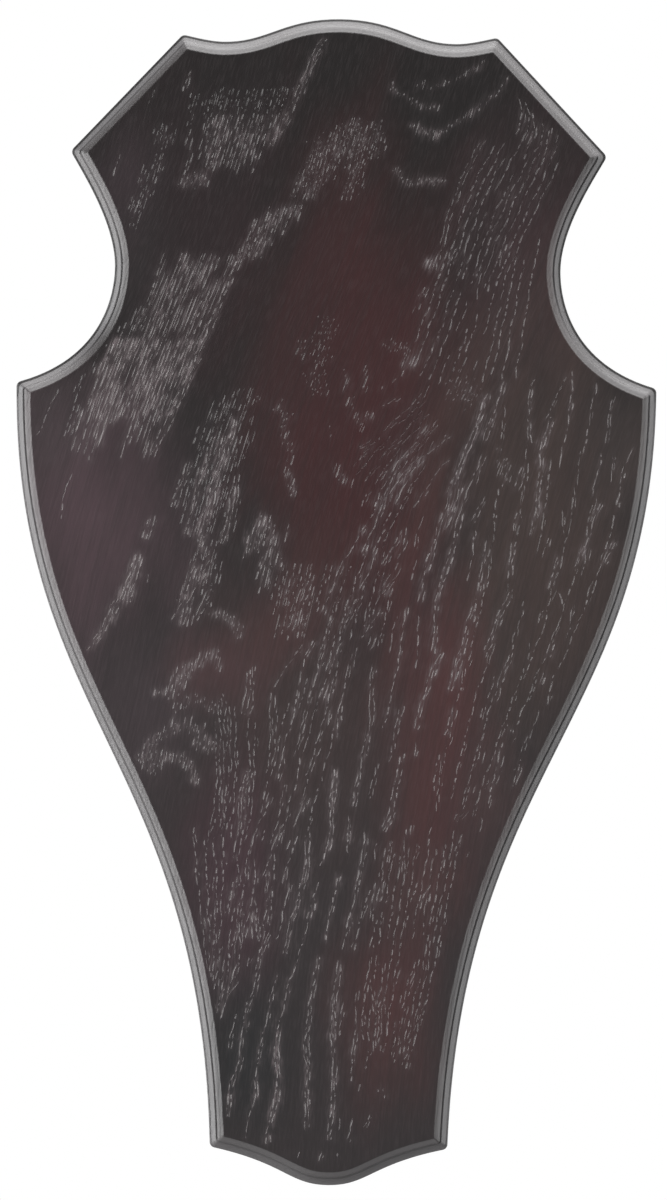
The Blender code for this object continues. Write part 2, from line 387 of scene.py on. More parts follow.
        ([(400, 1030), (392, 1056)], 6, 0.24),
        ([(372, 1045), (365, 1070)], 6, 0.24),
        ([(360, 1076), (358, 1092)], 4, 0.45),
        ([(342, 1110), (338, 1132)], 4, 0.34),
        ([(352, 1118), (348, 1142)], 4, 0.3),
        ([(372, 1110), (366, 1128)], 5, 0.25),
        ([(324, 1150), (318, 1164)], 4, 0.35),
        ([(303, 1148), (300, 1158)], 4, 0.35),
        ([(338, 1150), (335, 1160)], 4, 0.25),
    ],
}

# Short pores set along paths that cross the fibres, as at the hoops and cups of the figure
Band = namedtuple("Band", "path width lightness pore")
BANDS = {
    "spots under the patch": ([(178, 186), (192, 178), (200, 178), (207, 186)], 10, 0.6, 0.8),
    "specks at the middle, left": ([(276, 402), (284, 412), (288, 420)], 9, 0.3, 0.8),
    "specks at the middle": ([(282, 420), (286, 436), (292, 450)], 8, 0.3, 1.0),
    "specks at the middle, low": ([(290, 452), (288, 474), (294, 496)], 9, 0.36, 1.2),
    "specks above the middle, left": ([(304, 338), (300, 362)], 8, 0.2, 0.8),
    "specks above the middle": ([(328, 318), (320, 350), (316, 395)], 16, 0.13, 0.8),
    "specks above the middle, right": ([(347, 368), (347, 388)], 5, 0.35, 1.4),
    "specks at the heart": ([(334, 466), (342, 478), (350, 488)], 8, 0.4, 1.0),
    "specks right of the heart": ([(367, 368), (366, 390)], 5, 0.3, 1.4),
    "bend at the heart": ([(352, 396), (356, 420), (364, 430)], 5, 0.3, 1.2),
    "fleck beside the heart": ([(332, 426), (328, 438)], 4, 0.4, 1.0),
    "blob beside the heart": ([(366, 416), (374, 418)], 7, 0.36, 0.9),
    "first hoop": ([(206, 616), (216, 610), (226, 612), (234, 622), (241, 640)], 8, 0.62, 0.9),
    "second hoop": (
        [(166, 701), (179, 680), (194, 665), (210, 651), (220, 656), (222, 668)], 12, 0.62, 1.0),
    "inside the second hoop": ([(176, 712), (192, 696), (208, 700), (216, 712)], 9, 0.36, 1.0),
    "third hoop": (
        [(140, 762), (152, 742), (168, 730), (186, 722), (200, 732), (208, 752)], 11, 0.54, 1.0),
    "fourth hoop": ([(150, 772), (162, 756), (178, 750), (190, 764), (196, 786)], 9, 0.48, 1.0),
    "first cup": ([(390, 85), (400, 98), (420, 107), (440, 110)], 5, 0.4, 0.8),
    "second cup": ([(412, 82), (438, 88), (456, 80), (486, 62)], 4, 0.42, 0.9),
    "third cup": (
        [(402, 126), (418, 128), (434, 139), (450, 128), (470, 114), (492, 98),
         (512, 74)], 5, 0.44, 0.9),
    "fourth cup": ([(396, 168), (400, 182), (420, 184), (446, 178)], 7, 0.44, 0.8),
    "swirl, left": ([(388, 340), (400, 352), (410, 345)], 12, 0.17, 0.8),
    "swirl": ([(450, 378), (462, 392), (476, 400)], 22, 0.24, 0.8),
    "bright end of the upper rows": ([(420, 352), (410, 366), (398, 378)], 8, 0.5, 1.4),
    "fleck left of the upper rows": ([(384, 388), (380, 392)], 6, 0.5, 1.2),
    "tail of the upper rows": ([(434, 256), (428, 268)], 6, 0.5, 1.0),
    "low tail of the upper rows": ([(424, 290), (418, 312)], 9, 0.36, 1.0),
    "fleck beside the strong rows": ([(499, 448), (504, 466), (508, 484)], 9, 0.36, 1.2),
    "fleck at the low right": ([(506, 722), (514, 734)], 5, 0.28, 1.0),
    "dot at the right foot": ([(378, 1088), (384, 1096)], 6, 0.4, 0.8),
}

# Patches where the face runs along one year's pores: outline, lightness and mean pore length
Patch = namedtuple("Patch", "outline lightness pore")
PATCHES = {
    "soft streak by the ear": (
        [(170, 116), (180, 120), (166, 158), (155, 198), (142, 230), (124, 228), (136, 190),
         (152, 150)], 0.2, 1.2),
    "upper left patch, thick end": (
        [(186, 140), (200, 120), (290, 112), (280, 130), (268, 144), (250, 170), (226, 176),
         (184, 170)], 0.34, 1.8),
    "upper left patch, thin end": (
        [(192, 100), (250, 88), (292, 84), (290, 112), (200, 120), (188, 136)], 0.09, 1.2),
    "neck patch, upper end": (
        [(160, 268), (180, 254), (200, 252), (242, 247), (227, 280), (212, 320), (195, 345),
         (140, 345), (148, 310)], 0.40, 4.0),
    "neck patch, lower end": (
        [(120, 345), (160, 330), (195, 345), (190, 377), (170, 413), (146, 462), (136, 436),
         (126, 450), (112, 424), (98, 440), (76, 454), (80, 413), (93, 375),
         (108, 355)], 0.60, 3.6),
    "soft ground by the neck": (
        [(112, 325), (135, 315), (150, 290), (165, 262), (140, 345), (112, 350), (90, 380),
         (70, 440), (62, 440), (84, 378)], 0.22, 1.8),
    "arch of dots, right end": (
        [(296, 172), (318, 140), (350, 114), (378, 116), (388, 130), (384, 150), (370, 168),
         (352, 198), (345, 180), (330, 172), (312, 196), (298, 200)], 0.32, 0.9),
    "arch of dots, left end": (
        [(236, 256), (252, 232), (272, 212), (298, 200), (304, 206), (290, 226), (272, 240),
         (260, 262)], 0.5, 1.2),
    "left sheaf, upper part": (
        [(214, 412), (244, 380), (254, 392), (250, 440), (242, 500), (232, 530), (190, 540),
         (188, 490), (192, 440)], 0.18, 2.0),
    "left sheaf, lower part": (
        [(196, 545), (226, 535), (222, 560), (216, 596), (197, 620), (172, 630),
         (184, 590)], 0.22, 1.8),
    "middle fleck": (
        [(256, 512), (266, 515), (272, 540), (292, 545), (285, 556), (270, 562), (262, 592),
         (252, 585), (256, 556), (242, 554)], 0.62, 1.3),
    "middle fleck, low": ([(256, 580), (276, 560), (280, 580), (270, 595), (260, 594)], 0.3, 1.0),
    "soft fleck at the centre": (
        [(276, 575), (330, 560), (325, 590), (316, 620), (300, 640), (276, 635)], 0.25, 1.4),
}

# Rows spread evenly between two guides: guides, number, width and lightness
Sheaf = namedtuple("Sheaf", "left right count width lightness")
SHEAVES = {
    "upper right rows, upper": (
        [(490, 120), (470, 148), (457, 172), (446, 205), (436, 240), (428, 272)],
        [(566, 160), (549, 192), (534, 222), (520, 252), (508, 285), (498, 318)],
        12, 3, 0.27),
    "upper right rows, lower": (
        [(448, 244), (434, 278), (424, 310), (412, 340), (398, 366), (388, 384)],
        [(546, 228), (538, 262), (532, 296), (527, 328), (522, 360), (516, 396)],
        12, 3, 0.27),
    "short rows under the right chamfer": (
        [(512, 92), (522, 112), (518, 122), (508, 138)],
        [(562, 134), (560, 146), (554, 160), (548, 172)],
        6, 4, 0.30),
    "rows at the left foot": (
        [(188, 815), (190, 850), (194, 885), (200, 920), (206, 955), (208, 985)],
        [(264, 850), (262, 890), (254, 925), (242, 965), (228, 1000), (218, 1024)],
        7, 4, 0.36),
    "faint rows of the right foot": (
        [(384, 830), (376, 880), (366, 950), (360, 1010), (360, 1075)],
        [(474, 800), (462, 860), (450, 920), (438, 980), (410, 1075)],
        10, 4, 0.19),
    "faint rows of the right side": (
        [(500, 400), (494, 470), (486, 560), (470, 640), (452, 700), (440, 770), (428, 830)],
        [(640, 400), (634, 470), (618, 540), (590, 620), (556, 690), (524, 760), (498, 820)],
        6, 4, 0.18),
    "faint rows of the middle": (
        [(310, 620), (290, 680), (272, 740), (256, 800), (242, 860)],
        [(360, 640), (346, 700), (330, 760), (312, 820), (300, 870)],
        6, 4, 0.28),
    "faint rows below the hoops": (
        [(212, 700), (214, 750), (212, 800), (204, 850)],
        [(264, 690), (262, 750), (258, 810), (248, 860)],
        5, 5, 0.15),
    "faint rows of the fan": (
        [(426, 388), (398, 412), (374, 434), (350, 458), (340, 474)],
        [(456, 430), (430, 466), (410, 502), (396, 536), (384, 560)],
        8, 4, 0.14),
    "faint rows below the fan": (
        [(350, 560), (340, 586), (328, 616), (318, 650)],
        [(430, 500), (418, 552), (404, 606), (392, 664)],
        7, 4, 0.20),
    "faint rows of the foot": (
        [(232, 850), (240, 900), (252, 950)],
        [(300, 850), (290, 900), (276, 950)],
        5, 4, 0.34),
}


def heading_vector(degrees):
    angle = math.radians(degrees)
    return np.array([math.cos(angle), math.sin(angle)])


def unit(vectors):
    return vectors / np.linalg.norm(vectors, axis=-1, keepdims=True)


def bezier(start, end, curve):
    """A function of shares from 0 to 1 that gives the points and directions of a curve."""
    chord = np.linalg.norm(end - start)
    first = start + heading_vector(curve.start_heading) * curve.start_pull * chord
    second = end - heading_vector(curve.end_heading) * curve.end_pull * chord

    def at(shares):
        s = np.asarray(shares, float)[..., None]
        r = 1 - s
        points = start * r**3 + first * 3 * r**2 * s + second * 3 * r * s**2 + end * s**3
        speeds = (first - start) * r**2 + (second - first) * 2 * r * s + (end - second) * s**2
        return points, unit(speeds)

    return at


def straight(start, end):
    def at(shares):
        s = np.asarray(shares, float)[..., None]
        return start + (end - start) * s, unit(end - start) + 0 * s
    return at


def joined(first, second):
    def at(shares):
        shares = np.asarray(shares, float)
        early = shares[..., None] < 0.5
        points_a, directions_a = first(np.clip(shares * 2, 0, 1))
        points_b, directions_b = second(np.clip(shares * 2 - 1, 0, 1))
        return np.where(early, points_a, points_b), np.where(early, directions_a, directions_b)
    return at


def half_outline_spans():
    """The right half of the outline from crest to tip, one smooth span between corners."""
    crest = np.array([0, CREST_HEIGHT])
    dip = np.array([DIP_WIDTH / 2, crest[1] - CREST_ABOVE_DIP])
    brow = np.array([BROW_WIDTH / 2, dip[1] + BROW_ABOVE_DIP])
    ear = np.array([EAR_WIDTH / 2, brow[1] - BROW_ABOVE_EAR])
    neck = np.array([NECK_WIDTH / 2, ear[1] - EAR_ABOVE_NECK])
    shoulder = np.array([SHOULDER_WIDTH / 2, neck[1] - NECK_ABOVE_SHOULDER])
    tip = np.array([0, -CREST_HEIGHT])
    foot = np.array([FOOT_WIDTH / 2, tip[1] + FOOT_ABOVE_TIP])
    return [
        joined(bezier(crest, dip, CREST_CURVE), bezier(dip, brow, BROW_CURVE)),
        straight(brow, ear),
        joined(bezier(ear, neck, UPPER_HOLLOW_CURVE),
               bezier(neck, shoulder, LOWER_HOLLOW_CURVE)),
        bezier(shoulder, foot, SIDE_CURVE),
        bezier(foot, tip, BASE_CURVE),
    ]


def inset_points(span, shares, inset):
    points, directions = span(shares)
    inward = np.stack([directions[..., 1], -directions[..., 0]], axis=-1)
    return points + inward * inset, inward


def span_length(span):
    points, _ = span(np.linspace(0, 1, SPAN_SAMPLES))
    return np.linalg.norm(np.diff(points, axis=0), axis=1).sum()


def mitre_shares(before, after, inset):
    """Where two inset spans cross near their corner, as a share of each."""
    a, b = 1.0, 0.0
    probe = 1e-4
    for _ in range(MITRE_ROUNDS):
        point_a, _ = inset_points(before, a, inset)
        point_b, _ = inset_points(after, b, inset)
        speed_a = (point_a - inset_points(before, a - probe, inset)[0]) / probe
        speed_b = (inset_points(after, b + probe, inset)[0] - point_b) / probe
        step_a, step_b = np.linalg.solve(np.array([speed_a, -speed_b]).T, point_b - point_a)
        a, b = min(a + step_a, 1.0), max(b + step_b, 0.0)
    return a, b


def outline_loop(spans, inset, radius):
    """The outline moved inward, its corners rounded, as an array of (x, z)."""
    mitres = [mitre_shares(a, b, inset + radius) for a, b in zip(spans, spans[1:])]
    starts = [0.0] + [mitre[1] for mitre in mitres]
    ends = [mitre[0] for mitre in mitres] + [1.0]
    half = []
    for index, span in enumerate(spans):
        steps = math.ceil(span_length(span) / OUTLINE_STEP)
        points, inward = inset_points(span, np.linspace(starts[index], ends[index], steps + 1), inset)
        half.append(points)
        if index < len(spans) - 1:
            centre = points[-1] + inward[-1] * radius
            next_inward = inset_points(spans[index + 1], starts[index + 1], inset)[1]
            turn_shares = np.linspace(0, 1, CORNER_STEPS + 1)[1:-1, None]
            outward = unit(-inward[-1] * (1 - turn_shares) - next_inward * turn_shares)
            half.append(centre + outward * radius)
    half = np.concatenate(half)
    half[0, 0] = half[-1, 0] = 0
    mirrored = half[-2:0:-1] * [-1, 1]
    return np.concatenate([half, mirrored])


def moulding_profile():
    """The front edge's section, as (inset, y) from the board's side to its face."""
    lip_y = FACE_Y + MOULDING_DEPTH
    lip = np.array([LIP_WIDTH, lip_y])
    middle = np.array([LIP_WIDTH + COVE_RADIUS, lip_y - COVE_RADIUS])
    inner = np.array([MOULDING_WIDTH + ROUND_EASE, FACE_Y])
    profile = [(0.0, lip_y + LIP_ARRIS), (LIP_ARRIS, lip_y), (LIP_WIDTH, lip_y)]
    shares = np.linspace(0, 1, MOULDING_STEPS + 1)[1:]
    for curve in (bezier(lip, middle, COVE_CURVE), bezier(middle, inner, ROUND_CURVE)):
        points, _ = curve(shares)
        profile += points.tolist()
    return profile


def corner_radius(inset):
    share = min(1.0, inset / MOULDING_WIDTH)
    return OUTER_CORNER_RADIUS + (INNER_CORNER_RADIUS - OUTER_CORNER_RADIUS) * share


def signed_area(flat):
    x, z = flat[:, 0], flat[:, 1]
    return (x * np.roll(z, -1) - np.roll(x, -1) * z).sum() / 2


def inside_grid(flat, columns, rows, low):
    """True for each grid cell whose middle is inside the closed loop."""
    inside = np.zeros((rows, columns), bool)
    x, z = flat[:, 0], flat[:, 1]
    next_x, next_z = np.roll(x, -1), np.roll(z, -1)
    middles = low[0] + (np.arange(columns) + 0.5) * GRID_CELL
    for row in range(rows):
        height = low[1] + (row + 0.5) * GRID_CELL
        crossed = (z <= height) != (next_z <= height)
        share = (height - z[crossed]) / (next_z[crossed] - z[crossed])
        cuts = np.sort(x[crossed] + (next_x[crossed] - x[crossed]) * share)
        inside[row] = np.searchsorted(cuts, middles) % 2 == 1
    return inside


def inside_loop(points, flat):
    """True for each point that is inside the closed loop."""
    x, z = flat[:, 0], flat[:, 1]
    next_x, next_z = np.roll(x, -1), np.roll(z, -1)
    heights = points[:, 1, None]
    crossed = (z <= heights) != (next_z <= heights)
    rise = np.where(next_z == z, 1.0, next_z - z)
    cuts = x + (next_x - x) * (heights - z) / rise
    return (crossed & (cuts > points[:, 0, None])).sum(axis=1) % 2 == 1


def lean(points):
    """The fibres' sideways step for each step up, at (x, z) points."""
    slope = np.interp(points[..., 1], LEAN_HEIGHTS, LEAN_SLOPES)
    away = np.linalg.norm(points - np.array(SWIRL_CENTRE), axis=-1) / SWIRL_RADIUS
    return slope + SWIRL_SLOPE * np.exp(-away**2)


def grain_place(points):
    """Each point's place in the straightened grain: across, through and along it."""
    heights = np.linspace(LEAN_HEIGHTS[0], LEAN_HEIGHTS[-1], GRAIN_STEPS)
    slopes = np.interp(heights, LEAN_HEIGHTS, LEAN_SLOPES)
    shift = np.concatenate([[0], np.cumsum((slopes[1:] + slopes[:-1]) / 2 * np.diff(heights))])
    across = points[:, 0] - np.interp(points[:, 2], heights, shift)
    return np.stack([across, points[:, 1], points[:, 2]], axis=1)


def fibre_paths(middles, lengths):
    """Short lines along the fibres through the middles, as lists of points."""
    steps = math.ceil(PORE_LONGEST / 2 / PATH_STEP)
    walks = []
    for sign in (-1, 1):
        point = middles.copy()
        walk = []
        for _ in range(steps):
            slope = lean(point)
            heading = unit(np.stack([slope, np.ones_like(slope)], axis=1))
            point = point + heading * sign * PATH_STEP
            walk.append(point)
        walks.append(np.stack(walk, axis=1))
    whole = np.concatenate([walks[0][:, ::-1], middles[:, None], walks[1]], axis=1)
    paths = []
    for line, length in zip(whole, lengths):
        reach = max(1, round(length / 2 / PATH_STEP))
        paths.append(line[steps - reach:steps + reach + 1])
    return paths


def on_face(pixel):
    """A pixel of the photograph as (x, z) on the face, to the nearest half millimetre."""
    turn = math.radians(ROLL_DEGREES)
    right, down = pixel[0] - MIDDLE_X_PX, pixel[1] - FRAME_HEIGHT_PX / 2
    across = math.cos(turn) * right + math.sin(turn) * down
    below = math.cos(turn) * down - math.sin(turn) * right - (MIDDLE_Y_PX - FRAME_HEIGHT_PX / 2)
    return [round(length * PX / MM * 2) / 2 * MM for length in (across, -below)]


def millimetres(pixels):
    """A width in the photograph in real millimetres, to the nearest tenth."""
    return round(pixels * PX / MM, 1)


def smooth_path(pixels):
    """A path picked on the photograph, resampled evenly on the face with its bends eased."""
    points = np.array([on_face(pixel) for pixel in pixels])
    travelled = np.concatenate([[0], np.cumsum(np.linalg.norm(np.diff(points, axis=0), axis=1))])
    count = max(3, round(travelled[-1] / PATH_STEP))
    even = np.linspace(0, travelled[-1], count)
    line = np.stack([np.interp(even, travelled, points[:, axis]) for axis in (0, 1)], axis=1)
    reach = min(PATH_EASE, count // 4)
    window = np.ones(2 * reach + 1) / (2 * reach + 1)
    padded = np.concatenate([2 * line[0] - line[reach:0:-1], line, 2 * line[-1] - line[-2:-2 - reach:-1]])
    return np.stack([np.convolve(padded[:, axis], window, "valid") for axis in (0, 1)], axis=1)


def sideways(line):
    """The direction to the left at each point of a line."""
    along = unit(np.gradient(line, axis=0))
    return np.stack([-along[:, 1], along[:, 0]], axis=1)


def sampled(line, spots):
    """The line's points at places counted in whole and part steps along it."""
    base = np.arange(len(line))
    return np.stack([np.interp(spots, base, line[:, axis]) for axis in (0, 1)], axis=1)


def blended(grid, column, row):
    """The grid's values at places counted in whole and part cells."""
    c, r = np.asarray(column).astype(int), np.asarray(row).astype(int)
    right, up = column - c, row - r
    lower = grid[r, c] * (1 - right) + grid[r, c + 1] * right
    upper = grid[r + 1, c] * (1 - right) + grid[r + 1, c + 1] * right
    return lower * (1 - up) + upper * up


class PoreField:
    """Open pores on the face, placed so that none touch."""

    def __init__(self, boundary, seed):
        self.random = np.random.default_rng(seed)
        self.low = boundary.min(axis=0) - FACE_MARGIN
        size = boundary.max(axis=0) + FACE_MARGIN - self.low
        self.columns, self.rows = (np.ceil(size / GRID_CELL).astype(int) + 1)
        self.free = inside_grid(boundary, self.columns, self.rows, self.low)
        self.pores = []
        self.glow = []
        self.patchy = self.random.uniform(0, 1, (PATCHY_CELLS, PATCHY_CELLS))

    def haze(self, points):
        """How light the pores make the wood near each (x, z) point, as a soft share."""
        columns = int(self.columns * GRID_CELL / HAZE_CELL) + 2
        rows = int(self.rows * GRID_CELL / HAZE_CELL) + 2
        grid = np.zeros((rows, columns))
        for path, strength in self.glow:
            cell = ((path - self.low) / HAZE_CELL).astype(int)
            np.add.at(grid, (cell[:, 1], cell[:, 0]), 2 * strength * PATH_STEP / HAZE_CELL**2)
        for _ in range(HAZE_BLURS):
            for axis in (0, 1):
                grid = (np.roll(grid, 1, axis) + grid + np.roll(grid, -1, axis)) / 3
        place = (points - self.low) / HAZE_CELL - 0.5
        column = np.clip(place[:, 0], 0, columns - 2)
        row = np.clip(place[:, 1], 0, rows - 2)
        return blended(grid, column, row)

    def cells(self, points):
        """The rows and columns of the cells that the points lie in."""
        found = ((points - self.low) / GRID_CELL).astype(int)
        column = np.clip(found[..., 0], 0, self.columns - 1)
        return np.clip(found[..., 1], 0, self.rows - 1), column

    def richness(self, point):
        """A soft random share, drawn out along the fibres."""
        place = grain_place(np.array([[point[0], 0.0, point[1]]]))[0]
        column = (place[0] - self.low[0]) / PATCHY_ACROSS % (PATCHY_CELLS - 1)
        row = (place[2] - self.low[1]) / PATCHY_ALONG % (PATCHY_CELLS - 1)
        return blended(self.patchy, column, row)

    def claim(self, path, half_width, lightness, barest=BAREST):
        """Keeps a pore along the path if its ground is still free."""
        richness = self.richness(path[len(path) // 2])
        if richness < barest:
            return False
        poorest, richest = PATCHY_SHADES
        lightness *= poorest + (richest - poorest) * richness
        side = sideways(path)
        fine = np.linspace(0, len(path) - 1, (len(path) - 1) * CELLS_A_STEP + 1)
        dense, dense_side = sampled(path, fine), sampled(side, fine)
        reach = half_width + PORE_GAP
        offsets = np.arange(-reach, reach + GRID_CELL / 2, GROUND_STEP)
        ground = dense[:, None] + dense_side[:, None] * offsets[None, :, None]
        ends = np.stack([path[0] + (path[0] - path[1]) * PORE_END_SHARE,
                         path[-1] + (path[-1] - path[-2]) * PORE_END_SHARE])
        cells = self.cells(np.concatenate([ground.reshape(-1, 2), ends]))
        if not self.free[cells].all():
            return False
        self.free[cells] = False
        widths = half_width * self.random.uniform(NARROWEST_SHARE, 1, (2, PORE_MOST_POINTS))
        self.pores.append((path, side, widths, lightness))
        self.glow.append((path, half_width * lightness))
        return True

    def claim_narrowing(self, path, lightness, barest=0.0):
        """Keeps a pore along the path, as wide as its ground allows."""
        half_width = self.pore_half_width()
        for share in NARROWER:
            if self.claim(path, half_width * share, lightness, barest):
                return

    def pore_length(self, mean):
        length = mean * MM * self.random.lognormal(0, PORE_LENGTH_SPREAD)
        return float(np.clip(length, PORE_SHORTEST, PORE_LONGEST))

    def pore_half_width(self):
        return PORE_HALF_WIDTH * self.random.uniform(*PORE_WIDTH_SHARES)

    def wander(self, line):
        """The line with slow sideways waves, as pores don't run quite true."""
        travelled = np.arange(len(line)) * PATH_STEP
        sway = np.zeros(len(line))
        for length, reach in ROW_WANDER:
            sway += reach * np.sin(travelled / length * math.tau + self.random.uniform(0, math.tau))
        return line + sideways(line) * sway[:, None]

    def add_lane(self, line, offset, lightness, pore, outline=None, barest=0.0):
        """Pores end to end along a line, at a sideways offset from it."""
        if len(line) < 4:
            return
        place = self.random.uniform(0, 1) * pore * MM / PATH_STEP
        overrun = self.random.normal(0, PATCH_OVERRUN)
        side = sideways(line)
        while place < len(line) - 2:
            steps = max(1, round(self.pore_length(pore) / PATH_STEP))
            start = int(place)
            stop = min(start + steps + 1, len(line))
            if stop - start < 2:
                break
            drift = offset + self.random.normal(0, ROW_JITTER)
            tilt = np.linspace(-1, 1, stop - start)[:, None] * self.random.normal(0, ROW_TILT)
            path = line[start:stop] + side[start:stop] * (drift + tilt)
            shade = lightness * self.random.uniform(*ROW_SHADES)
            if outline is None or self.near_inside(path, outline, overrun):
                self.claim_narrowing(path, shade, barest)
            place = stop + self.random.exponential(ROW_BREAK) / PATH_STEP

    def near_inside(self, path, outline, overrun):
        """True for a path in the loop, give or take random steps that feather the loop's edge."""
        middle = path[len(path) // 2]
        along = np.array([lean(middle), 1.0]) * overrun
        return inside_loop((middle + along + self.random.normal(0, PATCH_FEATHER, 2))[None], outline)[0]

    def add_lanes(self, line, width, lightness, barest=0.0):
        """As many lanes of pores side by side as the width holds."""
        lanes = max(1, round(millimetres(width) * MM / ROW_PITCH))
        for offset in (np.arange(lanes) + 0.5 - lanes / 2) * ROW_PITCH:
            self.add_lane(self.wander(line), offset, lightness, ROW_PORE, barest=barest)

    def add_row(self, row):
        self.add_lanes(smooth_path(row.path), row.width, row.lightness)

    def add_band(self, band):
        """Short pores along the fibres, set along a path that crosses them."""
        line = smooth_path(band.path)
        travelled = (len(line) - 1) * PATH_STEP
        width = millimetres(band.width)
        count = int(travelled * width * MM / (BAND_PITCH * band.pore * MM))
        places = self.random.uniform(0, len(line) - 1, count)
        offsets = self.random.normal(0, width * MM / BAND_SPREAD, count)
        middles = sampled(line, places) + sampled(sideways(line), places) * offsets[:, None]
        lengths = [self.pore_length(band.pore) for _ in middles]
        for path in fibre_paths(middles, lengths):
            self.claim_narrowing(path, band.lightness * self.random.uniform(*BAND_SHADES))

    def add_sheaf(self, sheaf):
        """Rows with ragged ends, spread between the sheaf's two guides."""
        left, right = smooth_path(sheaf.left), smooth_path(sheaf.right)
        count = max(len(left), len(right))
        left, right = [sampled(line, np.linspace(0, len(line) - 1, count)) for line in (left, right)]
        for index in range(sheaf.count):
            share = (index + self.random.uniform(*SHEAF_STAGGER)) / sheaf.count
            shade = sheaf.lightness * self.random.uniform(*SHEAF_SHADES)
            line = left + (right - left) * share
            first, last = (self.random.uniform(0, SHEAF_RAGGED, 2) * count).astype(int)
            self.add_lanes(line[first:count - last], sheaf.width, shade, BAREST)

    def add_patch(self, patch):
        """Fills the patch with lanes of pores along the fibres."""
        outline = np.array([on_face(pixel) for pixel in patch.outline])
        low, high = outline.min(axis=0), outline.max(axis=0)
        height = high[1] - low[1]
        # Lanes start wide of the patch, because the fibres lean
        to_left, to_right = PATCH_LEAN_SHARES
        start_x = np.arange(low[0] - height * to_left, high[0] + height * to_right, PATCH_PITCH)
        start_x += self.random.normal(0, PATCH_JITTER, len(start_x))
        point = np.stack([start_x, np.full_like(start_x, low[1])], axis=1)
        lanes = [point]
        for _ in range(int(height / PATH_STEP)):
            heading = unit(np.stack([lean(point), np.ones(len(point))], axis=1))
            point = point + heading * PATH_STEP
            lanes.append(point)
        for line in np.stack(lanes, axis=1):
            shade = patch.lightness * self.random.uniform(*PATCH_SHADES)
            self.add_lane(line, 0.0, shade, patch.pore, outline, BAREST)

    def calm_points(self):
        """Points between the pores, where the haze around them can fade."""
        size = np.array([self.columns, self.rows]) * GRID_CELL
        columns, rows = (size / CALM_PITCH).astype(int)
        grid = np.stack(np.meshgrid(np.arange(columns), np.arange(rows)), axis=-1).reshape(-1, 2)
        spots = self.low + (grid + self.random.uniform(*CALM_JITTER, grid.shape)) * CALM_PITCH
        return spots[self.free[self.cells(spots)]]


# Flat regions are filled with triangles inside the rings, and points this close count as one
FILL_INSIDE = 1
FILL_CLOSENESS = 1e-7


class Shell:
    """Points and faces gathered for one mesh."""

    def __init__(self):
        self.points = []
        self.lights = []
        self.faces = []
        self.smooth = []
        self.along = {}
        self.count = 0

    def add_points(self, flat, y):
        """Adds (x, z) points at y, one value or one each, and returns their numbers."""
        flat = np.asarray(flat)
        ys = np.broadcast_to(y, len(flat))
        self.points.append(np.stack([flat[:, 0], ys, flat[:, 1]], axis=1))
        numbers = np.arange(self.count, self.count + len(flat))
        self.count += len(flat)
        return numbers

    def add_ring(self, flat, y):
        """Adds a closed loop and notes how far along it each point lies, as a share."""
        numbers = self.add_points(flat, y)
        steps = np.linalg.norm(np.diff(flat, axis=0, append=flat[:1]), axis=1)
        self.along.update(zip(numbers.tolist(), (np.cumsum(steps) - steps) / steps.sum()))
        return numbers

    def bridge(self, outer, inner):
        """Quads between two closed loops with the same number of points."""
        outer_next, inner_next = np.roll(outer, -1), np.roll(inner, -1)
        quads = np.stack([outer, outer_next, inner_next, inner], axis=1)
        self.faces += quads.tolist()
        self.smooth += [True] * len(quads)
        self.lights += [0.0] * 4 * len(quads)

    def fill(self, boundary, holes=(), extra=()):
        """Triangles over a flat region. Loops and extra points are (numbers, points) pairs."""
        loops = [boundary, *holes]
        parts = loops + ([extra] if extra else [])
        numbers = np.concatenate([part[0] for part in parts])
        flat = np.concatenate([part[1] for part in parts])
        rings, first = [], 0
        for _, points in loops:
            ring = list(range(first, first + len(points)))
            rings.append(ring if signed_area(points) > 0 else ring[::-1])
            first += len(points)
        scaled = [Vector(point) for point in flat / MM]
        made = geometry.delaunay_2d_cdt(scaled, [], rings, FILL_INSIDE, FILL_CLOSENESS, True)
        _, _, triangles, origins, _, triangle_rings = made
        lookup = [int(numbers[origin[0]]) if origin else -1 for origin in origins]
        for triangle, inside_rings in zip(triangles, triangle_rings):
            # Inside the boundary, which is ring 0, and in no hole
            if list(inside_rings) == [0]:
                self.faces.append([lookup[corner] for corner in triangle])
                self.smooth.append(False)
                self.lights += [0.0] * len(triangle)

    def mesh(self, name):
        mesh = bpy.data.meshes.new(name)
        faces = [[int(number) for number in face] for face in self.faces]
        mesh.from_pydata(np.concatenate(self.points).tolist(), [], faces)
        mesh.polygons.foreach_set("use_smooth", self.smooth)
        pore = mesh.attributes.new("pore", "FLOAT", "CORNER")
        pore.data.foreach_set("value", self.lights)
        bm = bmesh.new()
        bm.from_mesh(mesh)
        bmesh.ops.recalc_face_normals(bm, faces=bm.faces)
        bm.to_mesh(mesh)
        bm.free()
        return mesh


def capsule(low, high, low_radius, high_radius):
    """A keyhole outline: a lower circle joined to a slot with a round top."""
    # Where the slot's sides meet the lower circle
    spread = math.asin(min(1.0, high_radius / low_radius))
    sweep = np.linspace(math.pi / 2 + spread, 5 * math.pi / 2 - spread, KEYHOLE_STEPS)
    lower = low + low_radius * np.stack([np.cos(sweep), np.sin(sweep)], axis=1)
    sweep = np.linspace(0, math.pi, KEYHOLE_STEPS // 2)
    upper = high + high_radius * np.stack([np.cos(sweep), np.sin(sweep)], axis=1)
    return np.concatenate([lower, upper])


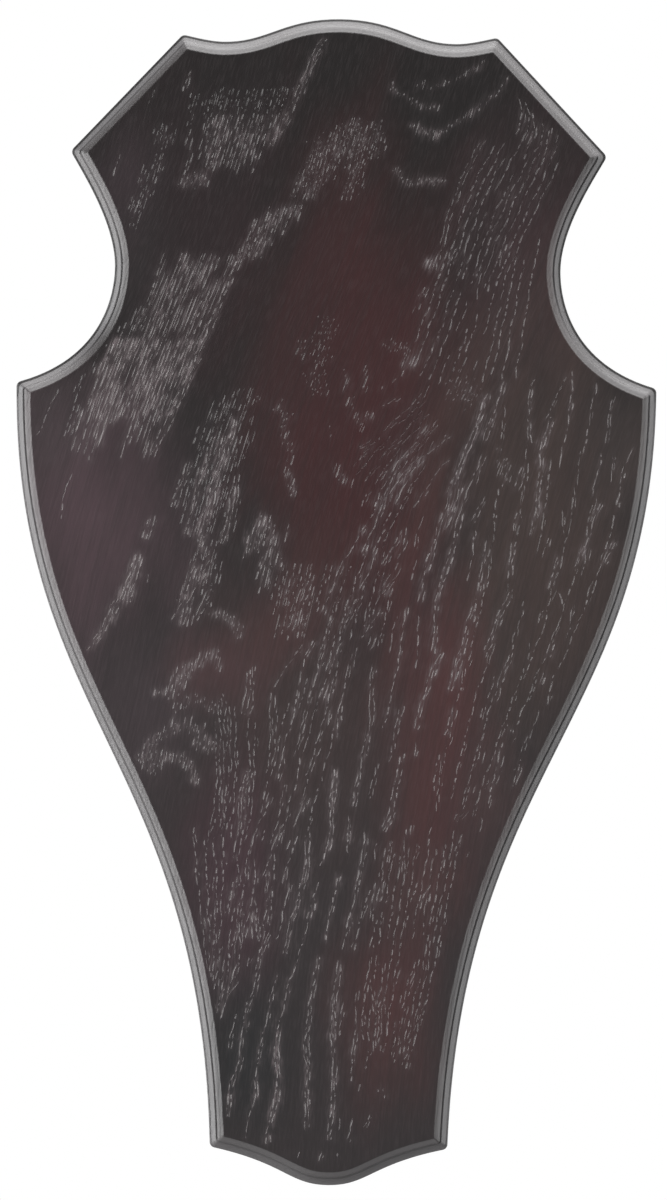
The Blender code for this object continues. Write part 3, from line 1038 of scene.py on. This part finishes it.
def add_keyhole(shell):
    """The slot's walls, step and floor. Returns its mouth as (numbers, points)."""
    rest = np.array([0, CREST_HEIGHT - KEYHOLE_BELOW_CREST])
    entry = rest - [0, SCREW_TRAVEL]
    wide = capsule(entry, rest, ENTRY_RADIUS + KEYHOLE_ARRIS, SCREW_SLOT_RADIUS + KEYHOLE_ARRIS)
    mouth = capsule(entry, rest, ENTRY_RADIUS, SCREW_SLOT_RADIUS)
    head = capsule(entry, rest, HEAD_SPACE_RADIUS, HEAD_SPACE_RADIUS)
    wide_ring = shell.add_ring(wide, 0.0)
    mouth_ring = shell.add_ring(mouth, -KEYHOLE_ARRIS)
    lip_ring = shell.add_ring(mouth, -KEYHOLE_LIP)
    step_ring = shell.add_ring(head, -KEYHOLE_LIP)
    floor_ring = shell.add_ring(head, -KEYHOLE_DEPTH)
    shell.bridge(wide_ring, mouth_ring)
    shell.bridge(mouth_ring, lip_ring)
    shell.fill((step_ring, head), holes=[(lip_ring, mouth)])
    shell.bridge(step_ring, floor_ring)
    shell.fill((floor_ring, head))
    return wide_ring, wide


def grow_pores(face_outline):
    field = PoreField(face_outline, seed=7)
    for rows in ROWS.values():
        for row in rows:
            field.add_row(Row(*row))
    for band in BANDS.values():
        field.add_band(Band(*band))
    for sheaf in SHEAVES.values():
        field.add_sheaf(Sheaf(*sheaf))
    for patch in PATCHES.values():
        field.add_patch(Patch(*patch))
    return field


def add_pore(shell, path, side, widths, lightness):
    """One ragged groove in the face: rim on the face, valley below. Returns its rim."""
    length = np.linalg.norm(np.diff(path, axis=0), axis=1).sum()
    inner = max(1, min(PORE_MOST_POINTS, round(length / PORE_POINT_SPACING)))
    shares = np.linspace(PORE_TIP_SHARE, 1 - PORE_TIP_SHARE, inner) if inner > 1 else [0.5]
    spots = np.concatenate([[0], shares, [1]]) * (len(path) - 1)
    line, across = sampled(path, spots), sampled(side, spots)
    left = line[1:-1] + across[1:-1] * widths[0, :inner, None]
    right = line[1:-1] - across[1:-1] * widths[1, :inner, None]
    valley = line[1:-1]
    rim_flat = np.concatenate([line[:1], left, line[-1:], right[::-1]])
    rim = shell.add_points(rim_flat, FACE_Y)
    depth = 2 * widths.max() * PORE_DEPTH_PER_WIDTH
    low = shell.add_points(valley, FACE_Y + depth)
    first, last = rim[0], rim[inner + 1]
    left_rim, right_rim = rim[1:inner + 1], rim[:inner + 1:-1]
    tip_light, rim_light = lightness * PORE_TIP_LIGHT, lightness * PORE_RIM_LIGHT
    for a in range(inner - 1):
        for wall in (left_rim, right_rim):
            shell.faces.append([wall[a], wall[a + 1], low[a + 1], low[a]])
            shell.lights += [rim_light, rim_light, lightness, lightness]
            shell.smooth.append(False)
    for tip, end in ((first, 0), (last, inner - 1)):
        for wall in (left_rim, right_rim):
            shell.faces.append([tip, wall[end], low[end]])
            shell.lights += [tip_light, rim_light, lightness]
            shell.smooth.append(False)
    return rim, rim_flat


def add_bake_map(mesh, along):
    """Lays the board out flat for baking: the front at full size, then the back, edge and slot."""
    layer = mesh.uv_layers.new(name="OFBake")
    for polygon in mesh.polygons:
        numbers = list(polygon.vertices)
        places = [mesh.vertices[number].co for number in numbers]
        x, y, z = polygon.center
        in_slot = (abs(x) < SLOT_HALF_WIDTH and abs(z - SLOT_MIDDLE) < SLOT_HALF_HEIGHT
                   and -KEYHOLE_DEPTH - MM < y)
        if y < FACE_Y + MOULDING_DEPTH + LIP_ARRIS:
            spots = [(place.z, place.x) for place in places]
            corner, scale = FRONT_CORNER, FRONT_BAKE_SCALE
        elif in_slot and y < -KEYHOLE_ARRIS / 4 and abs(polygon.normal.y) > SLOT_STEP_FACING:
            spots = [(place.z - SLOT_MIDDLE, place.x) for place in places]
            corner, scale = FLOOR_CORNER if polygon.normal.y > 0 else STEP_CORNER, SLOT_BAKE_SCALE
        elif polygon.normal.y > BACK_SIDE_FACING:
            spots = [(place.z, -place.x) for place in places]
            corner, scale = BACK_CORNER, BACK_BAKE_SCALE
        else:
            shares = [along[number] for number in numbers]
            if max(shares) - min(shares) > 0.5:
                shares = [share + 1 if share < 0.5 else share for share in shares]
            # The edge is laid out in two strips, the slot's walls in one
            strip = 0 if in_slot else int(min(shares) * 2) % 2
            corner, length, scale = SLOT_STRIP if in_slot else EDGE_STRIPS[strip]
            spots = [((share - strip / 2) * length, -place.y) for share, place in zip(shares, places)]
        for loop, (right, up) in zip(polygon.loop_indices, spots):
            layer.data[loop].uv = (corner[0] + right * scale, corner[1] + up * scale)


def add_board():
    spans = half_outline_spans()
    shell = Shell()
    back_flat = outline_loop(spans, BACK_ARRIS, OUTER_CORNER_RADIUS)
    back_ring = shell.add_ring(back_flat, 0.0)
    mouth = add_keyhole(shell)
    shell.fill((back_ring, back_flat), holes=[mouth])
    last = back_ring
    face_outline = outline_loop(spans, MOULDING_WIDTH + ROUND_EASE + FACE_MARGIN, INNER_CORNER_RADIUS)
    field = grow_pores(face_outline)
    sections = [(0.0, -BACK_ARRIS)] + moulding_profile()
    for inset, y in sections:
        flat = outline_loop(spans, inset, corner_radius(inset))
        ring = shell.add_ring(flat, y)
        shell.bridge(last, ring)
        last = ring
    rims = [add_pore(shell, *pore) for pore in field.pores]
    calm = field.calm_points()
    shell.fill((last, flat), holes=rims, extra=(shell.add_points(calm, FACE_Y), calm))
    mesh = shell.mesh("oak_board")
    points = np.concatenate(shell.points)
    flat = points[:, [0, 2]]
    on_face = points[:, 1] < FACE_Y + MM
    haze = mesh.attributes.new("haze", "FLOAT", "POINT")
    haze.data.foreach_set("value", field.haze(flat) * on_face)
    grain = mesh.attributes.new("grain", "FLOAT_VECTOR", "POINT")
    grain.data.foreach_set("vector", grain_place(points).ravel())
    add_bake_map(mesh, shell.along)
    board = bpy.data.objects.new("oak_board", mesh)
    bpy.context.scene.collection.objects.link(board)
    return board


board = add_board()

# Colours of the stained oak, as linear light
CHARCOAL = (0.015, 0.013, 0.013)
LOW_CHARCOAL = (0.034, 0.029, 0.030)
# The moulding's paler milled wood, mixed with painted sheen on its tilted parts
MILLED_AND_SHEEN_COLOUR = (0.10, 0.097, 0.10)
PORE_COLOUR = (0.162, 0.139, 0.138)
HAZE_COLOUR = (0.145, 0.122, 0.126)
END_GRAIN_COLOUR = (0.17, 0.163, 0.165)
EDGE_RING_COLOUR = (0.018, 0.013, 0.013)
BACK_COLOUR = (0.062, 0.046, 0.039)
DARK_BACK_COLOUR = (0.026, 0.019, 0.017)
BACK_STREAK_COLOUR = (0.11, 0.085, 0.070)
FIBRE_COLOUR = (0.008, 0.006, 0.006)
# Painted shade for the moulding's steepest part, also used for its darker lip along the upper edges
STEEP_SHADE_AND_DARK_LIP_COLOUR = (0.008, 0.007, 0.007)

# How much of each is mixed in where it shows most
FIBRE_SHARE = 0.22
STREAK_SHARE = 0.9
HAZE_SHARE = 0.42
MILLED_AND_SHEEN_SHARE = 0.8
SHADOW_SHARE = 0.95
END_GRAIN_SHARE = 0.8
LIP_SHARE = 0.9
EDGE_RING_SHARE = 0.7
EDGE_DOT_SHARE = 0.5
BACK_STREAK_SHARE = 0.5

# Fineness of the patterns in the wood: across, through and along the fibres
DRIFT_SCALE = (60.0, 60.0, 25.0)
FIBRE_SCALE = (1900.0, 1900.0, 70.0)
STREAK_SCALE = (2600.0, 2600.0, 330.0)
EDGE_RING_SCALE = (520.0, 150.0, 9.0)
EDGE_DOT_SCALE = (2400.0, 2400.0, 160.0)
GRAIN_DIRECTION = (0.26, 0.0, 0.966)

# Where each pattern begins to show and shows in full
DRIFT_RANGE = (0.3, 0.7)
FIBRE_RANGE = (0.35, 0.7)
STREAK_RANGE = (0.48, 0.64)
EDGE_RING_RANGE = (0.42, 0.60)
EDGE_DOT_RANGE = (0.58, 0.70)
BACK_FIBRE_RANGE = (0.35, 0.65)
BACK_STREAK_RANGE = (0.50, 0.70)

# How far a surface faces back, or turns across the fibres, where each colour begins and is full
MILLED_AND_SHEEN_FACING = (-0.15, -0.55)
SHADOW_FACING = (-0.74, -0.42)
BACK_FACING = (0.3, 0.9)
ACROSS_FIBRES = (0.3, 0.85)

# Strength and curve of the haze near the pores
HAZE_GAIN = 3.1
HAZE_CURVE = 1.4

# Heights on the board where the lower stain and the dark upper lip begin and are full
LOW_STAIN_HEIGHTS = (0.10, -0.06)
DARK_LIP_HEIGHTS = (0.040, 0.044)

# Depths below the face over which the colours of the moulding come in
MILLED_AND_SHEEN_DEPTHS = (0.0001, 0.0013)
END_GRAIN_DEPTHS = (0.00009, 0.00018)
LIP_DEPTHS = (MOULDING_DEPTH - 0.0002, MOULDING_DEPTH - 0.0001)
WALL_DEPTHS = (MOULDING_DEPTH, MOULDING_DEPTH + 0.0004)

# Roughness of the lacquered face, and how much rougher the bare parts are
FACE_ROUGHNESS = (0.28, 0.38)
END_GRAIN_ROUGHER = 0.12
BACK_ROUGHER = 0.3
EDGE_ROUGHER = 0.12

# The fibres' fine relief
FIBRE_BUMP = 0.25
FIBRE_RELIEF = 0.0002
STREAK_RELIEF_SHARE = 0.6

# Soft tints in the stain: middle and reach in millimetres, colour, share
Tint = namedtuple("Tint", "middle reach colour share")
TINTS = [
    Tint((6, 45), (34, 66), (0.053, 0.019, 0.020), 0.75),
    Tint((4, 15), (24, 38), (0.050, 0.018, 0.019), 0.6),
    Tint((-58, 32), (14, 20), (0.052, 0.044, 0.046), 0.7),
    Tint((-42, 72), (14, 20), (0.028, 0.025, 0.026), 0.7),
    Tint((59, 30), (16, 26), (0.046, 0.040, 0.039), 0.6),
    Tint((38, 72), (22, 40), (0.040, 0.024, 0.026), 0.8),
    Tint((42, 15), (30, 62), (0.060, 0.042, 0.038), 0.85),
    Tint((21, -27), (14, 56), (0.080, 0.031, 0.032), 0.68),
    Tint((12, -82), (16, 30), (0.076, 0.032, 0.032), 0.68),
    Tint((-8, -26), (30, 46), (0.050, 0.034, 0.033), 0.65),
    Tint((-52, 17), (28, 34), (0.086, 0.055, 0.064), 0.85),
    Tint((-40, -22), (20, 24), (0.052, 0.040, 0.044), 0.7),
    Tint((-28, 80), (26, 40), (0.028, 0.018, 0.020), 0.6),
    Tint((-23, -14), (16, 12), (0.070, 0.039, 0.041), 0.7),
    Tint((-20, -54), (17, 30), (0.062, 0.030, 0.040), 0.5),
    Tint((-11, -5), (16, 12), (0.064, 0.034, 0.034), 0.6),
    Tint((33, -40), (12, 18), (0.062, 0.038, 0.038), 0.6),
    Tint((18, -58), (14, 14), (0.076, 0.036, 0.035), 0.5),
    Tint((-43, 87), (12, 16), (0.040, 0.029, 0.033), 0.6),
    Tint((-16, -94), (14, 20), (0.014, 0.019, 0.020), 0.5),
    Tint((-11, 46), (12, 28), (0.047, 0.020, 0.021), 0.5),
]


class Nodes:
    """Short ways to add shader nodes to one tree."""

    def __init__(self, material):
        material.use_nodes = True
        self.tree = material.node_tree
        self.shader = self.tree.nodes["Principled BSDF"]

    def put(self, value, socket):
        if isinstance(value, bpy.types.NodeSocket):
            self.tree.links.new(value, socket)
        elif isinstance(value, tuple) and socket.type == "RGBA":
            socket.default_value = (*value, 1.0)
        else:
            socket.default_value = value

    def attribute(self, name):
        node = self.tree.nodes.new("ShaderNodeAttribute")
        node.attribute_name = name
        return node.outputs["Vector" if name == "grain" else "Fac"]

    def geometry(self, name):
        return self.tree.nodes.new("ShaderNodeNewGeometry").outputs[name]

    def axes(self, value):
        node = self.tree.nodes.new("ShaderNodeSeparateXYZ")
        self.put(value, node.inputs[0])
        return node.outputs

    def maths(self, operation, first, second=0.0, clamp=False):
        node = self.tree.nodes.new("ShaderNodeMath")
        node.operation = operation
        node.use_clamp = clamp
        self.put(first, node.inputs[0])
        self.put(second, node.inputs[1])
        return node.outputs[0]

    def times(self, first, *others):
        for other in others:
            first = self.maths("MULTIPLY", first, other)
        return first

    def vector(self, operation, first, second=(0.0, 0.0, 0.0)):
        node = self.tree.nodes.new("ShaderNodeVectorMath")
        node.operation = operation
        self.put(first, node.inputs[0])
        self.put(second, node.inputs[1])
        return node.outputs["Value" if operation in ("DOT_PRODUCT", "LENGTH") else "Vector"]

    def ramp(self, value, low, high, to_low=0.0, to_high=1.0):
        """A soft change from to_low to to_high as the value goes from low to high."""
        node = self.tree.nodes.new("ShaderNodeMapRange")
        node.interpolation_type = "SMOOTHSTEP"
        for name, number in zip(("Value", "From Min", "From Max", "To Min", "To Max"),
                                (value, low, high, to_low, to_high)):
            self.put(number, node.inputs[name])
        return node.outputs["Result"]

    def noise(self, place, scales, detail=2.0):
        node = self.tree.nodes.new("ShaderNodeTexNoise")
        self.put(self.vector("MULTIPLY", place, scales), node.inputs["Vector"])
        node.inputs["Scale"].default_value = 1.0
        node.inputs["Detail"].default_value = detail
        return node.outputs["Fac"]

    def mix(self, share, first, second):
        node = self.tree.nodes.new("ShaderNodeMix")
        node.data_type = "RGBA"
        self.put(share, node.inputs["Factor"])
        self.put(first, node.inputs["A"])
        self.put(second, node.inputs["B"])
        return node.outputs["Result"]


def dark_oak():
    material = bpy.data.materials.new("dark_oak")
    n = Nodes(material)
    grain, haze, pore = n.attribute("grain"), n.attribute("haze"), n.attribute("pore")
    place, normal = n.geometry("Position"), n.geometry("Normal")
    at, facing = n.axes(place), n.axes(normal)
    depth = n.maths("SUBTRACT", at["Y"], FACE_Y)

    # Stain: charcoal with soft tints and slow unevenness
    drift = n.noise(grain, DRIFT_SCALE, 4.0)
    colour = n.mix(n.ramp(at["Z"], *LOW_STAIN_HEIGHTS), CHARCOAL, LOW_CHARCOAL)
    unevenness = n.ramp(drift, *DRIFT_RANGE, -0.2, 0.2)
    for tint in TINTS:
        middle = (tint.middle[0] * MM, 0.0, tint.middle[1] * MM)
        reach = (1 / (tint.reach[0] * MM), 0.0, 1 / (tint.reach[1] * MM))
        away = n.vector("LENGTH", n.vector("MULTIPLY", n.vector("SUBTRACT", place, middle), reach))
        wavy = n.maths("ADD", away, unevenness)
        colour = n.mix(n.ramp(wavy, 0.0, 1.1, tint.share, 0.0), colour, tint.colour)

    # Fibres: long fine streaks, and the shorter ones of the small pores
    fibres = n.noise(grain, FIBRE_SCALE, 3.0)
    streaks = n.noise(grain, STREAK_SCALE)
    colour = n.mix(n.ramp(fibres, *FIBRE_RANGE, 0.0, FIBRE_SHARE), colour, FIBRE_COLOUR)
    soft = n.maths("POWER", n.maths("MULTIPLY", haze, HAZE_GAIN, clamp=True), HAZE_CURVE)
    light_streaks = n.times(n.ramp(streaks, *STREAK_RANGE), n.ramp(soft, 0.0, 0.7, 0.05, STREAK_SHARE))
    colour = n.mix(light_streaks, colour, HAZE_COLOUR)
    colour = n.mix(n.times(soft, HAZE_SHARE), colour, HAZE_COLOUR)
    colour = n.mix(pore, colour, PORE_COLOUR)

    # The moulding: paler milled wood where it tilts, partly its own colour and partly painted sheen, and
    # painted shade in its steepest part
    lower = n.ramp(depth, *MILLED_AND_SHEEN_DEPTHS)
    tilted = n.times(lower, n.ramp(facing["Y"], *MILLED_AND_SHEEN_FACING, 0.1, 1.0))
    colour = n.mix(n.times(tilted, MILLED_AND_SHEEN_SHARE), colour, MILLED_AND_SHEEN_COLOUR)
    moulded = n.ramp(depth, *WALL_DEPTHS, 1.0, 0.0)
    steep = n.times(n.ramp(facing["Y"], *SHADOW_FACING), moulded)
    colour = n.mix(n.times(steep, SHADOW_SHARE), colour, STEEP_SHADE_AND_DARK_LIP_COLOUR)

    # End grain shows where the surface turns across the fibres; faces turned downward get less of it,
    # which is painted shade
    flat_normal = n.vector("NORMALIZE", n.vector("MULTIPLY", normal, (1.0, 0.0, 1.0)))
    across = n.maths("ABSOLUTE", n.vector("DOT_PRODUCT", flat_normal, GRAIN_DIRECTION))
    off_face = n.ramp(depth, *END_GRAIN_DEPTHS)
    turned = n.times(off_face, n.ramp(across, *ACROSS_FIBRES), n.ramp(moulded, 0.0, 1.0, 0.2, 1.0),
                     n.ramp(facing["Z"], -0.5, 0.0, 0.75, 1.0))
    colour = n.mix(n.times(turned, END_GRAIN_SHARE), colour, END_GRAIN_COLOUR)

    # The moulding's lip is darker along the upper edges
    lip = n.ramp(depth, *LIP_DEPTHS)
    dark_lip = n.times(lip, n.ramp(at["Z"], *DARK_LIP_HEIGHTS), moulded)
    colour = n.mix(n.times(dark_lip, LIP_SHARE), colour, STEEP_SHADE_AND_DARK_LIP_COLOUR)

    # Year rings and their open pores, seen end on and side on, in the sawn edge
    walls = n.maths("SUBTRACT", 1.0, moulded)
    rings = n.ramp(n.noise(grain, EDGE_RING_SCALE, 3.0), *EDGE_RING_RANGE)
    colour = n.mix(n.times(rings, walls, EDGE_RING_SHARE), colour, EDGE_RING_COLOUR)
    dots = n.ramp(n.noise(grain, EDGE_DOT_SCALE, 1.0), *EDGE_DOT_RANGE)
    colour = n.mix(n.times(dots, walls, EDGE_DOT_SHARE), colour, PORE_COLOUR)

    # The back is stained thinly and left without lacquer
    behind = n.ramp(facing["Y"], *BACK_FACING)
    thin_stain = n.mix(n.ramp(fibres, *BACK_FIBRE_RANGE), BACK_COLOUR, DARK_BACK_COLOUR)
    back_streaks = n.ramp(streaks, *BACK_STREAK_RANGE, 0.0, BACK_STREAK_SHARE)
    thin_stain = n.mix(back_streaks, thin_stain, BACK_STREAK_COLOUR)
    colour = n.mix(n.times(behind, n.ramp(drift, 0.2, 0.7, 1.0, 0.7)), colour, thin_stain)
    n.put(colour, n.shader.inputs["Base Color"])

    rough = n.ramp(fibres, 0.3, 0.7, *FACE_ROUGHNESS)
    for mask, rougher in ((turned, END_GRAIN_ROUGHER), (behind, BACK_ROUGHER), (walls, EDGE_ROUGHER)):
        rough = n.maths("ADD", rough, n.times(mask, rougher))
    n.put(rough, n.shader.inputs["Roughness"])
    bump = n.tree.nodes.new("ShaderNodeBump")
    bump.inputs["Strength"].default_value = FIBRE_BUMP
    bump.inputs["Distance"].default_value = FIBRE_RELIEF
    n.put(n.maths("ADD", fibres, n.times(streaks, STREAK_RELIEF_SHARE)), bump.inputs["Height"])
    n.put(bump.outputs["Normal"], n.shader.inputs["Normal"])
    return material


material = dark_oak()
board.data.materials.append(material)

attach(board, "root")
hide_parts("plaque_board")

CAMERA_DISTANCE = 1.5


def add_camera():
    data = bpy.data.cameras.new("camera")
    data.sensor_width = 36
    outline_y = FACE_Y + MOULDING_DEPTH
    data.lens = data.sensor_width * CAMERA_DISTANCE / (FRAME_HEIGHT_PX * PX)
    data.clip_start = 0.01
    data.clip_end = 50
    camera = bpy.data.objects.new("camera", data)
    x = (FRAME_WIDTH_PX / 2 - MIDDLE_X_PX) * PX
    z = (MIDDLE_Y_PX - FRAME_HEIGHT_PX / 2) * PX
    camera.location = (x, outline_y - CAMERA_DISTANCE, z)
    camera.rotation_euler = (math.pi / 2, -math.radians(ROLL_DEGREES), 0)
    bpy.context.scene.collection.objects.link(camera)
    bpy.context.scene.camera = camera


add_camera()


def add_light(name, location, target, size, power):
    data = bpy.data.lights.new(name, "AREA")
    data.shape = "RECTANGLE"
    data.size, data.size_y = size
    data.energy = power
    light = bpy.data.objects.new(name, data)
    light.location = location
    light.rotation_euler = (Vector(target) - Vector(location)).to_track_quat("-Z", "Y").to_euler()
    light.visible_camera = False
    bpy.context.scene.collection.objects.link(light)


MIDDLE = (0, 0, 0)
add_light("top_softbox", (0.08, -0.05, 0.90), MIDDLE, (1.3, 1.0), 19)
add_light("left_softbox", (-0.90, -0.32, 0.0), MIDDLE, (0.8, 1.1), 17)
add_light("right_softbox", (0.90, -0.32, 0.0), MIDDLE, (0.8, 1.1), 8.5)
add_light("low_softbox", (0.0, -0.60, -0.80), MIDDLE, (0.8, 0.5), 0.4)
add_light("back_softbox", (0.0, 1.20, 0.40), MIDDLE, (1.0, 1.0), 9)

# A pale floor well below the board
FLOOR_SIZE = 6
FLOOR_HEIGHT = -1.0
FLOOR_LIGHT = 100
PALE = (0.74, 0.74, 0.73)
PALER = (0.80, 0.80, 0.79)


def add_floor():
    bpy.ops.mesh.primitive_plane_add(size=FLOOR_SIZE, location=(0, 0, FLOOR_HEIGHT))
    floor = bpy.context.object
    floor.name = "floor"
    material = bpy.data.materials.new("pale_floor")
    n = Nodes(material)
    clouds = n.noise(n.geometry("Position"), (2.0, 2.0, 2.0))
    n.put(n.mix(clouds, PALE, PALER), n.shader.inputs["Base Color"])
    n.put(n.ramp(clouds, 0.3, 0.7, 0.6, 0.75), n.shader.inputs["Roughness"])
    floor.data.materials.append(material)
    # The floor is seen but throws no light up at the board
    floor.visible_diffuse = False
    floor.visible_glossy = False


add_floor()
over_floor, on_floor = (0, 0, FLOOR_HEIGHT + 0.5), (0, 0, FLOOR_HEIGHT)
add_light("floor_light", over_floor, on_floor, (FLOOR_SIZE, FLOOR_SIZE), FLOOR_LIGHT)

# White where the camera sees it, and faint as light on the board
WORLD_LIGHT = 0.15
world = bpy.data.worlds.new("studio")
world.use_nodes = True
bpy.context.scene.world = world
nodes, links = world.node_tree.nodes, world.node_tree.links
background = nodes["Background"]
background.inputs["Color"].default_value = (1, 1, 1, 1)
path = nodes.new("ShaderNodeLightPath")
strength = nodes.new("ShaderNodeMapRange")
strength.inputs["To Min"].default_value = WORLD_LIGHT
strength.inputs["To Max"].default_value = 1.0
links.new(path.outputs["Is Camera Ray"], strength.inputs["Value"])
links.new(strength.outputs["Result"], background.inputs["Strength"])

bpy.context.scene.view_settings.view_transform = "Standard"
